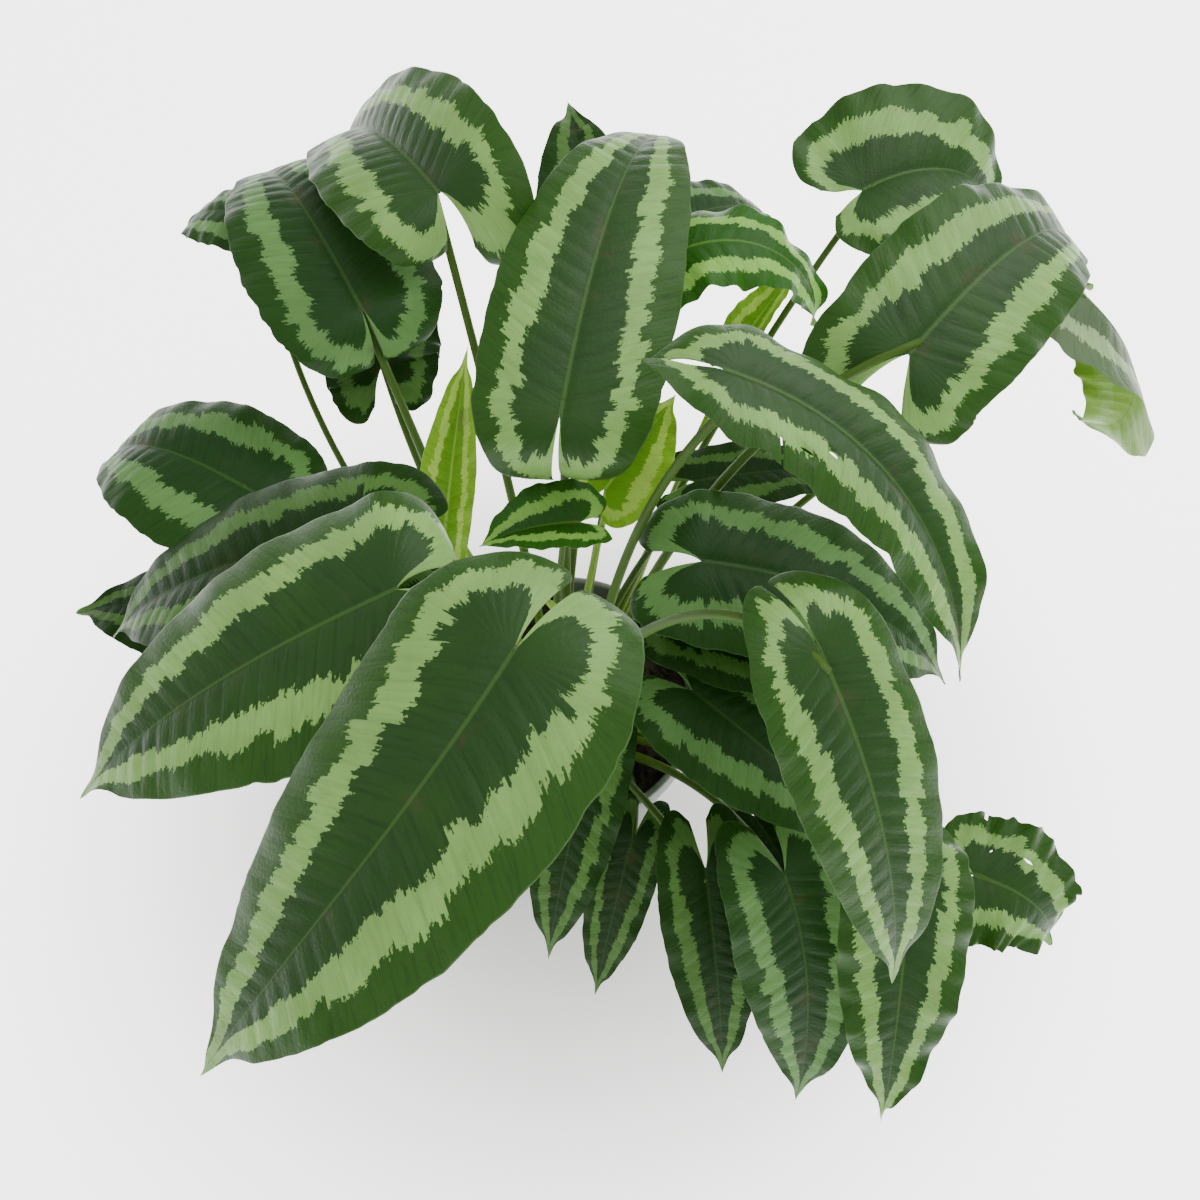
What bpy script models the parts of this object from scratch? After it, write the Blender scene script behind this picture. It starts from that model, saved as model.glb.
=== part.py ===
"""Potted schismatoglottis: a clump of long-stalked, arrow-shaped leaves in a round plastic pot.

Metres, +Z up. The origin is the centre of the pot's foot, on the surface that the pot stands on.
Every leaf is one solid, its blade grown onto its stalk. The stalks rise from the soil in the pot's
middle, and each blade is laid along a bending midrib by the same few formulas.
"""

import math
from typing import NamedTuple

import bmesh
import bpy
import numpy as np
from mathutils import Vector

MM = 0.001
GAP = 0.3 * MM  # between a solid and what it rests in or on

# Pot
POT_HEIGHT = 125 * MM
POT_TOP_RADIUS = 75 * MM
POT_FOOT_RADIUS = 53 * MM
POT_WALL = 1.8 * MM
POT_FLOOR = 3.0 * MM
POT_COLLAR_HEIGHT = 14 * MM
POT_COLLAR_STEP = 2.0 * MM
POT_SEGMENTS = 32
HOLE_COUNT = 6
HOLE_RADIUS = 5 * MM
HOLE_CIRCLE_RADIUS = 34 * MM

# Soil
SOIL_DEPTH_BELOW_RIM = 12 * MM
SOIL_TOP = POT_HEIGHT - SOIL_DEPTH_BELOW_RIM

# Leaves
BLADE_THICKNESS = 1.2 * MM
STALK_SIDES = 6
STALK_STEPS = 7
RIBS = 10  # spans along each half of a blade
STRIPS = 2  # spans from the midrib to the margin
STALK_FOOT_WIDTH = 0.028  # of a stalk at its foot, in blade lengths
JOIN_AHEAD = 7 * MM  # from the notch to where the stalk ends inside the blade
RIB_SLANT = 0.55  # how far a side vein runs on towards the tip, per unit of width

# Margin of half a blade, from the notch round the lobe to the tip: along the midrib in blade
# lengths from the stalk, and out from the midrib in half widths.
MARGIN = (
    (-0.19, 0.16),
    (-0.245, 0.40),
    (-0.215, 0.66),
    (-0.12, 0.86),
    (0.03, 0.965),
    (0.20, 1.0),
    (0.40, 0.93),
    (0.60, 0.745),
    (0.78, 0.47),
    (0.91, 0.19),
    (1.0, 0.0),
)
LOBE_REACH = 0.245  # how far the lobes run back behind the stalk
NOTCH_HALF = 0.05  # least distance from a lobe to the notch's middle line, in half widths


class Leaf(NamedTuple):
    """One leaf. Lengths are in millimetres and angles in degrees."""

    name: str
    base: tuple  # where the stalk meets the blade
    heading: float  # compass of the midrib at the base, anticlockwise from +X
    pitch: float  # rise of the midrib at the base
    droop: float  # how far the midrib turns down by the tip
    sway: float  # how far it turns to its left by the tip
    roll: float  # blade's roll about the midrib at the base, left side up
    twist: float  # how far the roll grows by the tip
    fold: float  # slope of both halves at the midrib, up from the midrib
    curl: float  # how far that slope changes by the margin
    lobe: float  # how far the lobes turn down behind the stalk
    length: float  # of the blade, from the stalk to the tip
    width: float
    wave: float  # height of the margin's waves
    root: tuple  # compass and distance of the stalk's foot from the middle of the clump
    arch: float = 0.5  # how much steeper the stalk starts than it ends
    bow: float = 0.0  # how far the stalk bows out to its left
    close: float = 0.0  # how far the lobes close in on the notch, in half widths


LEAVES = (
    # name, base, heading, pitch, droop, sway, roll, twist, fold, curl, lobe, length, width, wave,
    # root, arch, bow, close
    Leaf("leaf_01", (-10, -110, 380), -125, -22, 35, -25, 0, 0, 8, -40, 85, 215, 110, 1, (-96, 12), 0.8, 0, 0.2),
    Leaf("leaf_02", (5, 29, 338), 79, 24, 75, -7, 5, -8, 8, -30, 125, 210, 84, 1, (60, 8), 0.5, 0, 0.22),
    Leaf("leaf_03", (106, -95, 350), -56, -40, 35, -20, 0, 0, 10, -35, 80, 165, 66, 1, (-60, 16), 2.6, -10, 0.3),
    Leaf("leaf_04", (-60, -60, 340), -162, -18, 35, 0, -5, 0, 8, -40, 125, 180, 108, 1, (-135, 14), 0.8),
    Leaf("leaf_05", (75, 0, 400), -13, -15, 50, -62, -12, 0, 20, -55, 40, 164, 68, 2, (10, 14), 1.2, 0, 0.55),
    Leaf("leaf_06", (154, 52, 348), 46, 20, 100, 0, 18, 0, 8, -30, 90, 170, 84, 2, (20, 20), 1.6, 0.0, -0.2),
    Leaf("leaf_07", (148, 174, 321), 25, 12, 100, -20, 4, 30, 22, -30, 0, 98, 96, 2, (45, 24), 0.8),
    Leaf("leaf_08", (-52, 142, 353), 121, -7, 66, 0, -20, 0, 25, -35, 140, 158, 88, 1, (107, 14)),
    Leaf("leaf_09", (-89, 105, 317), 118, 10, 68, 0, 0, 0, 8, -35, 130, 162, 88, 1, (150, 28), 0.2, 0, 0.2),
    Leaf("leaf_10", (-82, -11, 304), 180, -18, 40, 0, 0, 0, 8, -35, 60, 160, 90, 1, (180, 14), 0.8),
    Leaf("leaf_11", (-145, 48, 248), 152, 12, 85, 0, 0, 0, 8, -35, 40, 118, 90, 1, (165, 24)),
    Leaf("leaf_12", (63, -58, 247), -37, -12, 18, 0, 0, 0, 10, -35, 50, 106, 66, 1, (-30, 24)),
    Leaf("leaf_13", (67, -15, 288), -5, -5, 55, -18, 0, 0, 10, -35, 60, 138, 85, 1, (-5, 22), 0.5, 15),
    Leaf("leaf_14", (17, -67, 199), -108, -45, 25, 0, 0, 0, 12, -30, 60, 123, 45, 1, (-88, 24), 1.0),
    Leaf("leaf_15", (72, -112, 165), -80, -45, 25, 0, 0, 0, 12, -30, 60, 125, 50, 1, (-66, 28), 1.2),
    Leaf("leaf_16", (108, -119, 177), -63, -45, 25, -38, 0, 0, 12, -30, 60, 139, 68, 1, (-50, 34), 0.4, 14),
    Leaf("leaf_17", (162, -130, 198), -94, -35, 30, 0, 0, 0, 10, -35, 80, 125, 62, 3, (-36, 30), 2.1, 3),
    Leaf("leaf_18", (263, 162, 266), -43, -10, 155, -14, -20, -110, -20, -10, 110, 128, 80, 2, (30, 28), 0.4),
    Leaf("leaf_19", (42, 113, 333), 25, 25, 120, -60, 0, 0, 5, -30, 40, 112, 52, 3, (66, 20)),
    Leaf("leaf_20", (56, 176, 296), 30, 0, 60, 0, 0, 0, 5, -30, 40, 72, 60, 1, (75, 26)),
    Leaf("leaf_21", (25, 125, 290), 98, 12, 30, 0, 0, 0, 15, -20, 40, 145, 60, 1, (88, 20)),
    Leaf("leaf_22", (-85, 106, 272), 98, -5, 50, 0, 0, 0, 5, -30, 60, 110, 60, 6, (130, 30), 0.5, 12),
    Leaf("leaf_23", (-142, 182, 291), 160, 5, 80, 0, 0, 0, 5, -30, 60, 70, 46, 1, (148, 36), 0.3, 34),
    Leaf("leaf_24", (-142, 15, 190), 170, -5, 30, 0, 0, 0, 5, -30, 25, 120, 70, 1, (-175, 28)),
    Leaf("leaf_25", (68, 52, 252), 14, -5, 20, 0, -8, 0, 8, -20, 25, 90, 44, 1, (52, 22), 0.5, 6),
    Leaf("leaf_26", (62, -34, 265), -15, -5, 40, 0, 0, 0, 8, -30, 60, 90, 50, 1, (-20, 16), 1.4, 4),
    Leaf("leaf_27", (204, -109, 148), -15, -5, 95, -20, 22, 0, 5, -20, 25, 72, 66, 4, (-24, 38)),
    Leaf("leaf_28", (38, -86, 138), -110, -50, 20, 0, 0, 0, 15, -30, 110, 105, 36, 1, (-45, 42), 0.8, 8),
    Leaf("leaf_29", (23, -54, 136), -100, -10, 50, 0, 0, 0, 12, -30, 60, 48, 26, 1, (-80, 40)),
    Leaf("leaf_30", (135, -92, 172), -70, -45, 20, 0, 0, 0, 10, -30, 60, 110, 50, 1, (-33, 38), 1.0),
    Leaf("leaf_31", (98, -80, 152), -50, -30, 20, 0, 0, 0, 10, -30, 60, 68, 42, 1, (-38, 46)),
    Leaf("young_leaf_1", (24, 32, 275), 46, 30, 0, 0, 35, 0, 30, 10, 10, 52, 48, 1, (0, 4)),
    Leaf("young_leaf_2", (13, 7, 285), 190, 12, 30, 10, 0, 0, 30, -15, 25, 46, 40, 1, (180, 6)),
    Leaf("young_leaf_3", (-53, 29, 240), 80, 45, 15, 0, 0, 0, 25, 10, 15, 88, 32, 1, (140, 12)),
    Leaf("young_leaf_4", (88, 117, 270), 52, 20, 10, 0, 0, 0, 40, 10, 10, 52, 28, 1, (40, 32)),
)

# New shoot: where it rises, bends towards and ends, in millimetres.
SHOOT_FOOT = (2, -6)
SHOOT_BEND = (22, -8, 215)
SHOOT_TIP = (-10, -6, 246)


def catmull_rom(points, position):
    """A smooth curve through points, read at a position from 0 to their count less one."""
    last = len(points) - 2
    span = min(int(position), last)
    f = position - span
    before = points[span - 1] if span else 2 * points[0] - points[1]
    start, end = points[span], points[span + 1]
    after = points[span + 2] if span < last else 2 * end - start
    return 0.5 * (
        2 * start
        + (end - before) * f
        + (2 * before - 5 * start + 4 * end - after) * f**2
        + (3 * start - before - 3 * end + after) * f**3
    )


def unit(vector):
    """The vector's direction, with length one."""
    return vector / np.linalg.norm(vector)


def spine_frame(leaf, s):
    """The midrib's direction, the blade's left and its upper normal at s blade lengths."""
    ahead = max(s, 0.0)
    behind = max(-s, 0.0)
    pitch = math.radians(leaf.pitch - leaf.droop * ahead**1.4 + leaf.lobe * behind / 0.25)
    heading = math.radians(leaf.heading + leaf.sway * ahead)
    roll = math.radians(leaf.roll + leaf.twist * ahead)
    along = np.array(
        (math.cos(pitch) * math.cos(heading), math.cos(pitch) * math.sin(heading), math.sin(pitch))
    )
    level_left = np.array((-math.sin(heading), math.cos(heading), 0.0))
    level_up = np.cross(along, level_left)
    left = level_left * math.cos(roll) + level_up * math.sin(roll)
    return along, left, np.cross(along, left)


def spine_point(leaf, s, steps=16):
    """The midrib's place at s blade lengths from the stalk, found by walking along it."""
    place = np.array(leaf.base, float) * MM
    step = s / steps
    for i in range(steps):
        along, _, _ = spine_frame(leaf, (i + 0.5) * step)
        place = place + along * step * leaf.length * MM
    return place


def blade_point(leaf, s, t, edge):
    """The blade's place at s blade lengths along the midrib and t metres out to its left.

    edge is 0 at the midrib and 1 at the margin, where the blade waves most.
    """
    _, left, up = spine_frame(leaf, s)
    fold = math.radians(leaf.fold)
    turn = math.radians(leaf.curl) / (0.5 * leaf.width * MM)
    out = abs(t)
    flat = (math.sin(fold + turn * out) - math.sin(fold)) / turn
    high = (math.cos(fold) - math.cos(fold + turn * out)) / turn
    side = 1 if t >= 0 else -1
    high += leaf.wave * MM * edge**2 * math.sin(2.5 * 2 * math.pi * s + 1.3 * side + leaf.length)
    return spine_point(leaf, s) + left * side * flat + up * high


def rib(leaf, position, edge, side):
    """A point on a side vein: its vein by position round the margin, its place by edge."""
    margin = [np.array(p) for p in MARGIN]
    end = catmull_rom(margin, position)
    half = 0.5 * leaf.width / leaf.length
    closed = leaf.close * max(-end[0], 0.0) / LOBE_REACH
    end = np.array((end[0], max(end[1] - closed, NOTCH_HALF if end[0] < 0 else 0.0) * half))
    start = np.array((max(0.0, end[0] - RIB_SLANT * end[1]), 0.0))
    bend = np.array((start[0] + 0.3 * (end[0] - start[0]), 0.5 * end[1]))
    s, t = (1 - edge) ** 2 * start + 2 * edge * (1 - edge) * bend + edge**2 * end
    return blade_point(leaf, s, side * t * leaf.length * MM, edge)


def blade_mesh(leaf):
    """The blade as an open sheet, whose halves meet along the midrib."""
    bm = bmesh.new()
    spans = len(MARGIN) - 1
    middle = []
    for i in range(RIBS + 1):
        position = spans * i / RIBS
        place = rib(leaf, position, 0.0, 1)
        if middle and np.linalg.norm(place - np.array(middle[-1].co)) < 0.1 * MM:
            middle.append(middle[-1])
        else:
            middle.append(bm.verts.new(place))
    for side in (1, -1):
        rows = []
        for i in range(RIBS + 1):
            position = spans * i / RIBS
            row = [middle[i]]
            if i < RIBS:
                for j in range(1, STRIPS + 1):
                    row.append(bm.verts.new(rib(leaf, position, j / STRIPS, side)))
            else:
                row += [middle[i]] * STRIPS
            rows.append(row)
        for first, second in zip(rows, rows[1:]):
            for j in range(STRIPS):
                corners = [first[j], second[j], second[j + 1], first[j + 1]]
                face = list(dict.fromkeys(corners))
                if len(face) > 2:
                    bm.faces.new(face if side < 0 else face[::-1])
    mesh = bpy.data.meshes.new(leaf.name + "_blade")
    bmesh.ops.triangulate(bm, faces=bm.faces)
    bm.normal_update()
    bm.to_mesh(mesh)
    bm.free()
    return mesh


def stalk_route(leaf):
    """Centre points and radii of the stalk, from the soil up to and a little under the blade."""
    compass, distance = leaf.root
    foot = np.array(
        (
            distance * MM * math.cos(math.radians(compass)),
            distance * MM * math.sin(math.radians(compass)),
            SOIL_TOP + GAP,
        )
    )
    top = spine_point(leaf, JOIN_AHEAD / (leaf.length * MM))
    reach = np.linalg.norm(top - foot)
    chord = unit(top - foot)
    rise = np.array((0.0, 0.0, 1.0))
    aside = leaf.bow * MM * unit(np.cross(rise, chord))
    lower = foot + 0.4 * reach * unit(chord + leaf.arch * rise) + aside
    upper = top - 0.3 * reach * unit(chord - 0.5 * leaf.arch * rise) + aside
    thick, thin = max(0.5 * STALK_FOOT_WIDTH * leaf.length, 1.6) * MM, 1.3 * MM
    route = []
    for i in range(STALK_STEPS + 1):
        f = i / STALK_STEPS
        place = (
            (1 - f) ** 3 * foot
            + 3 * f * (1 - f) ** 2 * lower
            + 3 * f**2 * (1 - f) * upper
            + f**3 * top
        )
        route.append((place, thick + (thin - thick) * min(1.0, 1.3 * f) ** 0.7))
    return route


def tube_mesh(name, route, sides):
    """A closed round tube along a route of centre points and radii, its foot level."""
    bm = bmesh.new()
    rings = []
    for i, (place, radius) in enumerate(route):
        before = route[max(i - 1, 0)][0]
        after = route[min(i + 1, len(route) - 1)][0]
        along = Vector((0, 0, 1)) if i == 0 else Vector(unit(after - before))
        across = along.cross(Vector((0.0, 1.0, 0.0))).normalized()
        third = along.cross(across)
        ring = []
        for k in range(sides):
            angle = 2 * math.pi * k / sides
            offset = across * math.cos(angle) + third * math.sin(angle)
            ring.append(bm.verts.new(Vector(place) + offset * radius))
        rings.append(ring)
    for first, second in zip(rings, rings[1:]):
        for k in range(sides):
            after = (k + 1) % sides
            bm.faces.new((first[k], first[after], second[after], second[k]))
    bm.faces.new(rings[0][::-1])
    bm.faces.new(rings[-1])
    bmesh.ops.triangulate(bm, faces=bm.faces)
    mesh = bpy.data.meshes.new(name)
    bm.to_mesh(mesh)
    bm.free()
    mesh.shade_smooth()
    return mesh


def make_shoot(material, parent):
    """The new shoot: a furled leaf that is no more than a slim spear as yet."""
    foot = np.array((SHOOT_FOOT[0] * MM, SHOOT_FOOT[1] * MM, SOIL_TOP + GAP))
    bend, tip = np.array(SHOOT_BEND) * MM, np.array(SHOOT_TIP) * MM
    route = []
    for i in range(STALK_STEPS + 1):
        f = i / STALK_STEPS
        place = (1 - f) ** 2 * foot + 2 * f * (1 - f) * bend + f**2 * tip
        swell = math.sin(math.pi * min(1.0, max(0.0, f - 0.4) / 0.6))
        route.append((place, (2.0 - 1.6 * f**3 + 1.2 * swell) * MM))
    return place_object("new_shoot", tube_mesh("new_shoot", route, STALK_SIDES), material, parent)


def finish(name, colour, roughness):
    """A plain material with its colour and roughness."""
    material = bpy.data.materials.new(name)
    material.use_nodes = True
    shader = material.node_tree.nodes["Principled BSDF"]
    shader.inputs["Base Color"].default_value = (*colour, 1.0)
    shader.inputs["Roughness"].default_value = roughness
    shader.inputs["Metallic"].default_value = 0.0
    return material


def place_object(name, mesh, material, parent=None, helper=False):
    """Adds a mesh to the scene as an object; a helper only shapes another object."""
    item = bpy.data.objects.new(name, mesh)
    mesh.materials.append(material)
    item.parent = parent
    item.hide_render = helper
    if helper:
        item.display_type = "WIRE"
    bpy.context.scene.collection.objects.link(item)
    return item


def make_leaf(leaf, material, parent):
    """One leaf: the stalk, with its blade joined on."""
    blade = place_object(leaf.name + "_blade", blade_mesh(leaf), material, parent, helper=True)
    shell = blade.modifiers.new("thickness", "SOLIDIFY")
    shell.thickness = BLADE_THICKNESS
    shell.offset = 0.0
    stalk = tube_mesh(leaf.name, stalk_route(leaf), STALK_SIDES)
    item = place_object(leaf.name, stalk, material, parent)
    join = item.modifiers.new("join_blade", "BOOLEAN")
    join.operation = "UNION"
    join.solver = "EXACT"
    join.object = blade
    return item


def turned_mesh(name, profile, segments):
    """A closed round solid from a profile of (radius, height) that starts and ends on the axis."""
    bm = bmesh.new()
    verts = [bm.verts.new((radius, 0.0, height)) for radius, height in profile]
    edges = [bm.edges.new(pair) for pair in zip(verts, verts[1:])]
    bmesh.ops.spin(
        bm,
        geom=verts + edges,
        cent=(0, 0, 0),
        axis=(0, 0, 1),
        angle=2 * math.pi,
        steps=segments,
        use_merge=True,
    )
    bmesh.ops.remove_doubles(bm, verts=bm.verts, dist=0.001 * MM)
    bmesh.ops.recalc_face_normals(bm, faces=bm.faces)
    mesh = bpy.data.meshes.new(name)
    bm.to_mesh(mesh)
    bm.free()
    mesh.shade_smooth()
    mesh.set_sharp_from_angle(angle=math.radians(35))
    return mesh


def outer_radius(height):
    """Radius of the pot's plain wall, outside."""
    top = POT_TOP_RADIUS - POT_COLLAR_STEP
    return POT_FOOT_RADIUS + (top - POT_FOOT_RADIUS) * height / POT_HEIGHT


def inner_radius(height):
    """Radius of the pot's wall, inside."""
    return outer_radius(height) - POT_WALL


def make_pot(material):
    """The pot: a thin tapered wall with a collar round its rim and drainage holes in its floor."""
    collar = POT_HEIGHT - POT_COLLAR_HEIGHT
    profile = (
        (0.0, 0.0),
        (POT_FOOT_RADIUS - 1.5 * MM, 0.0),
        (outer_radius(2 * MM), 2 * MM),
        (outer_radius(collar), collar),
        (POT_TOP_RADIUS - 0.6 * MM, collar + 1 * MM),
        (POT_TOP_RADIUS, POT_HEIGHT - 1.5 * MM),
        (POT_TOP_RADIUS - 0.8 * MM, POT_HEIGHT),
        (inner_radius(POT_HEIGHT) + 0.8 * MM, POT_HEIGHT),
        (inner_radius(POT_HEIGHT), POT_HEIGHT - 1 * MM),
        (inner_radius(POT_FLOOR), POT_FLOOR),
        (0.0, POT_FLOOR),
    )
    pot = place_object("pot", turned_mesh("pot", profile, POT_SEGMENTS), material)
    for k in range(HOLE_COUNT):
        angle = 2 * math.pi * (k + 0.5) / HOLE_COUNT
        bar = round_bar(HOLE_RADIUS, 4 * POT_FLOOR)
        cutter = place_object(f"hole_{k}", bar, material, pot, helper=True)
        cutter.location = (
            HOLE_CIRCLE_RADIUS * math.cos(angle),
            HOLE_CIRCLE_RADIUS * math.sin(angle),
            0.0,
        )
        cut = pot.modifiers.new(cutter.name, "BOOLEAN")
        cut.operation = "DIFFERENCE"
        cut.solver = "EXACT"
        cut.object = cutter
    return pot


def round_bar(radius, length):
    """A plain round bar along Z, centred on its origin."""
    bm = bmesh.new()
    bmesh.ops.create_cone(
        bm, cap_ends=True, segments=10, radius1=radius, radius2=radius, depth=length
    )
    mesh = bpy.data.meshes.new("round_bar")
    bm.to_mesh(mesh)
    bm.free()
    return mesh


def make_soil(material, parent):
    """The soil, which fills the pot to a little below its rim."""
    bottom = POT_FLOOR + GAP
    profile = (
        (0.0, bottom),
        (inner_radius(bottom) - 1.2 * GAP, bottom),
        (inner_radius(SOIL_TOP) - 1.2 * GAP, SOIL_TOP),
        (0.0, SOIL_TOP),
    )
    return place_object("soil", turned_mesh("soil", profile, POT_SEGMENTS), material, parent)


def main():
    for item in list(bpy.data.objects):
        bpy.data.objects.remove(item, do_unlink=True)
    pot = make_pot(finish("pot_plastic", (0.18, 0.19, 0.18), 0.5))
    make_soil(finish("potting_soil", (0.012, 0.010, 0.008), 0.95), pot)
    for leaf in LEAVES:
        young = leaf.name.startswith("young")
        colour = (0.36, 0.48, 0.06) if young else (0.06, 0.17, 0.05)
        make_leaf(leaf, finish(leaf.name + "_green", colour, 0.45), pot)
    make_shoot(finish("shoot_green", (0.30, 0.38, 0.14), 0.5), pot)


main()
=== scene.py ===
"""Potted schismatoglottis: fine leaves, stalks, soil and pot, laid over the part's plain solids.

Metres, +Z up. The origin is the centre of the pot's foot, on the surface that the pot stands on.
The leaves repeat the part's own table, so that each fine blade lies where its solid does.
"""

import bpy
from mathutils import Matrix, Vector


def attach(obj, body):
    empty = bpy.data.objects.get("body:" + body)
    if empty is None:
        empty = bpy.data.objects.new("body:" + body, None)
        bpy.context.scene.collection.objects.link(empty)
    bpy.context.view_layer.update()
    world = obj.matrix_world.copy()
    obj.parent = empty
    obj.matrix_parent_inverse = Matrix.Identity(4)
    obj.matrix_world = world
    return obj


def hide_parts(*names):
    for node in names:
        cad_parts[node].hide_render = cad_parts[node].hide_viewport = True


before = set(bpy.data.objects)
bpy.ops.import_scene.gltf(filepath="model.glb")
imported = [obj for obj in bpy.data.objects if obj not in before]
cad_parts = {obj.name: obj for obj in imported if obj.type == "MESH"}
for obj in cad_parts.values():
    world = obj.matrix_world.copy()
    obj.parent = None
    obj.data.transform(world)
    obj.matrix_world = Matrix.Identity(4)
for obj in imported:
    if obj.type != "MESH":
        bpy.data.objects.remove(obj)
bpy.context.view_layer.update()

import logging
from dataclasses import dataclass
from enum import Enum, IntEnum
from math import cos, pi, radians, sin, sqrt

import bmesh
import bpy
import numpy as np

MM = 0.001
log = logging.getLogger("schismatoglottis")

Array = np.ndarray
Faces = list[list[int]]
Colour = tuple[float, float, float]
Socket = bpy.types.NodeSocket
Value = Socket | float | Colour
Material = bpy.types.Material
Piece = bpy.types.Object


# Materials


class Nodes:
    """A material's node tree, with short calls that add its nodes and join them."""

    def __init__(self, name: str) -> None:
        """Starts a new material that holds only its Principled shader.

        Args:
            name: the material's name.
        """
        self.material = bpy.data.materials.new(name)
        self.material.use_nodes = True
        self.tree = self.material.node_tree
        self.shader = self.tree.nodes["Principled BSDF"]

    def feed(self, socket: Socket, value: Value) -> None:
        """Sets an input.

        Args:
            socket: the input.
            value: what it takes, as another node's output, a number or a colour.
        """
        if isinstance(value, Socket):
            self.tree.links.new(value, socket)
        elif socket.type == "RGBA":
            socket.default_value = (*value, 1.0)
        else:
            socket.default_value = value

    def node(self, kind: str, inputs: dict, output: int | str = 0, **settings: str) -> Socket:
        """Adds a node and feeds it.

        Args:
            kind: Blender's name for the node.
            inputs: what its inputs take, by their names or numbers.
            output: the name or number of the output that is wanted.
            settings: the node's properties.

        Returns:
            That output.
        """
        node = self.tree.nodes.new(kind)
        for key, value in settings.items():
            setattr(node, key, value)
        for key, value in inputs.items():
            self.feed(node.inputs[key], value)
        return node.outputs[output]

    def math(self, operation: str, *terms: Value) -> Socket:
        """The result of a sum with one, two or three terms."""
        return self.node("ShaderNodeMath", dict(enumerate(terms)), operation=operation)

    def ramp(self, value: Value, low: Value, high: Value, to: tuple = (0.0, 1.0)) -> Socket:
        """A smooth step of value from low to high, as a number from to[0] to to[1]."""
        terms = dict(enumerate((value, low, high, *to)))
        return self.node("ShaderNodeMapRange", terms, interpolation_type="SMOOTHSTEP")

    def mix(self, share: Value, first: Value, second: Value) -> Socket:
        """Mixes two colours by share, from first at 0 to second at 1."""
        return self.node("ShaderNodeMix", {0: share, 6: first, 7: second}, 2, data_type="RGBA")

    def noise(self, place: Socket, scale: float, detail: float = 2.0) -> Socket:
        """Soft noise from 0 to 1 at a place."""
        inputs = {"Vector": place, "Scale": scale, "Detail": detail}
        return self.node("ShaderNodeTexNoise", inputs, "Fac")

    def dice(self, value: Socket) -> Socket:
        """A number from 0 to 1 that is drawn anew for every whole number."""
        whole = {"W": self.math("FLOOR", value)}
        return self.node("ShaderNodeTexWhiteNoise", whole, "Value", noise_dimensions="1D")

    def curve(self, value: Socket, points: tuple) -> Socket:
        """Reads a smooth curve.

        Args:
            value: where to read it.
            points: its points, as pairs of input and output.

        Returns:
            The curve's output there.
        """
        result = self.node("ShaderNodeFloatCurve", {"Value": value})
        line = result.node.mapping.curves[0]
        while len(line.points) < len(points):
            line.points.new(0.5, 0.5)
        for knot, place in zip(line.points, points):
            knot.location = place
        result.node.mapping.update()
        return result

    def split(self, name: str) -> tuple[Socket, Socket, Socket]:
        """The three numbers of a named vector that the mesh holds at its points."""
        vector = self.node("ShaderNodeAttribute", {}, "Vector", attribute_name=name)
        return tuple(self.node("ShaderNodeSeparateXYZ", {0: vector}).node.outputs)

    def join(self, x: Value, y: Value) -> Socket:
        """A vector of two numbers and a zero."""
        return self.node("ShaderNodeCombineXYZ", {0: x, 1: y})

    def place(self) -> Socket:
        """The point's own place on the object."""
        return self.node("ShaderNodeTexCoord", {}, "Object")

    def bump(self, height: Socket, strength: float, distance: float) -> None:
        """Gives the shader a fine relief."""
        inputs = {"Strength": strength, "Distance": distance, "Height": height}
        self.feed(self.shader.inputs["Normal"], self.node("ShaderNodeBump", inputs))

    def surface(self, colour: Value, roughness: Value, specular: float) -> None:
        """Sets the shader's colour, roughness and specular level."""
        looks = {"Base Color": colour, "Roughness": roughness, "Specular IOR Level": specular}
        for key, value in looks.items():
            self.feed(self.shader.inputs[key], value)


class Tint(Enum):
    """How old a leaf is and how it is coloured; two darkened copies of the mature colours are painted shade
    for leaves that lie in shade, and one paler copy is a painted sheen.
    """

    MATURE = "mature"
    # A darker copy with a dimmer band: painted shade.
    HALF_SHADED = "half_shaded"
    # A deeper darkened copy: painted deep shade.
    SHADED = "shaded"
    # A paler copy: painted sheen, with painted light shining through the leaf.
    SHEEN_LIT = "sheen_lit"
    FRESH = "fresh"
    YOUNG = "young"


@dataclass(frozen=True)
class LeafColours:
    """A leaf's colours: round the midrib, in the band, along the margin, the rib and below.

    gloss is how strongly it reflects.
    """

    centre: Colour
    band: Colour
    margin: Colour
    rib: Colour
    under: Colour
    gloss: float


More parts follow.
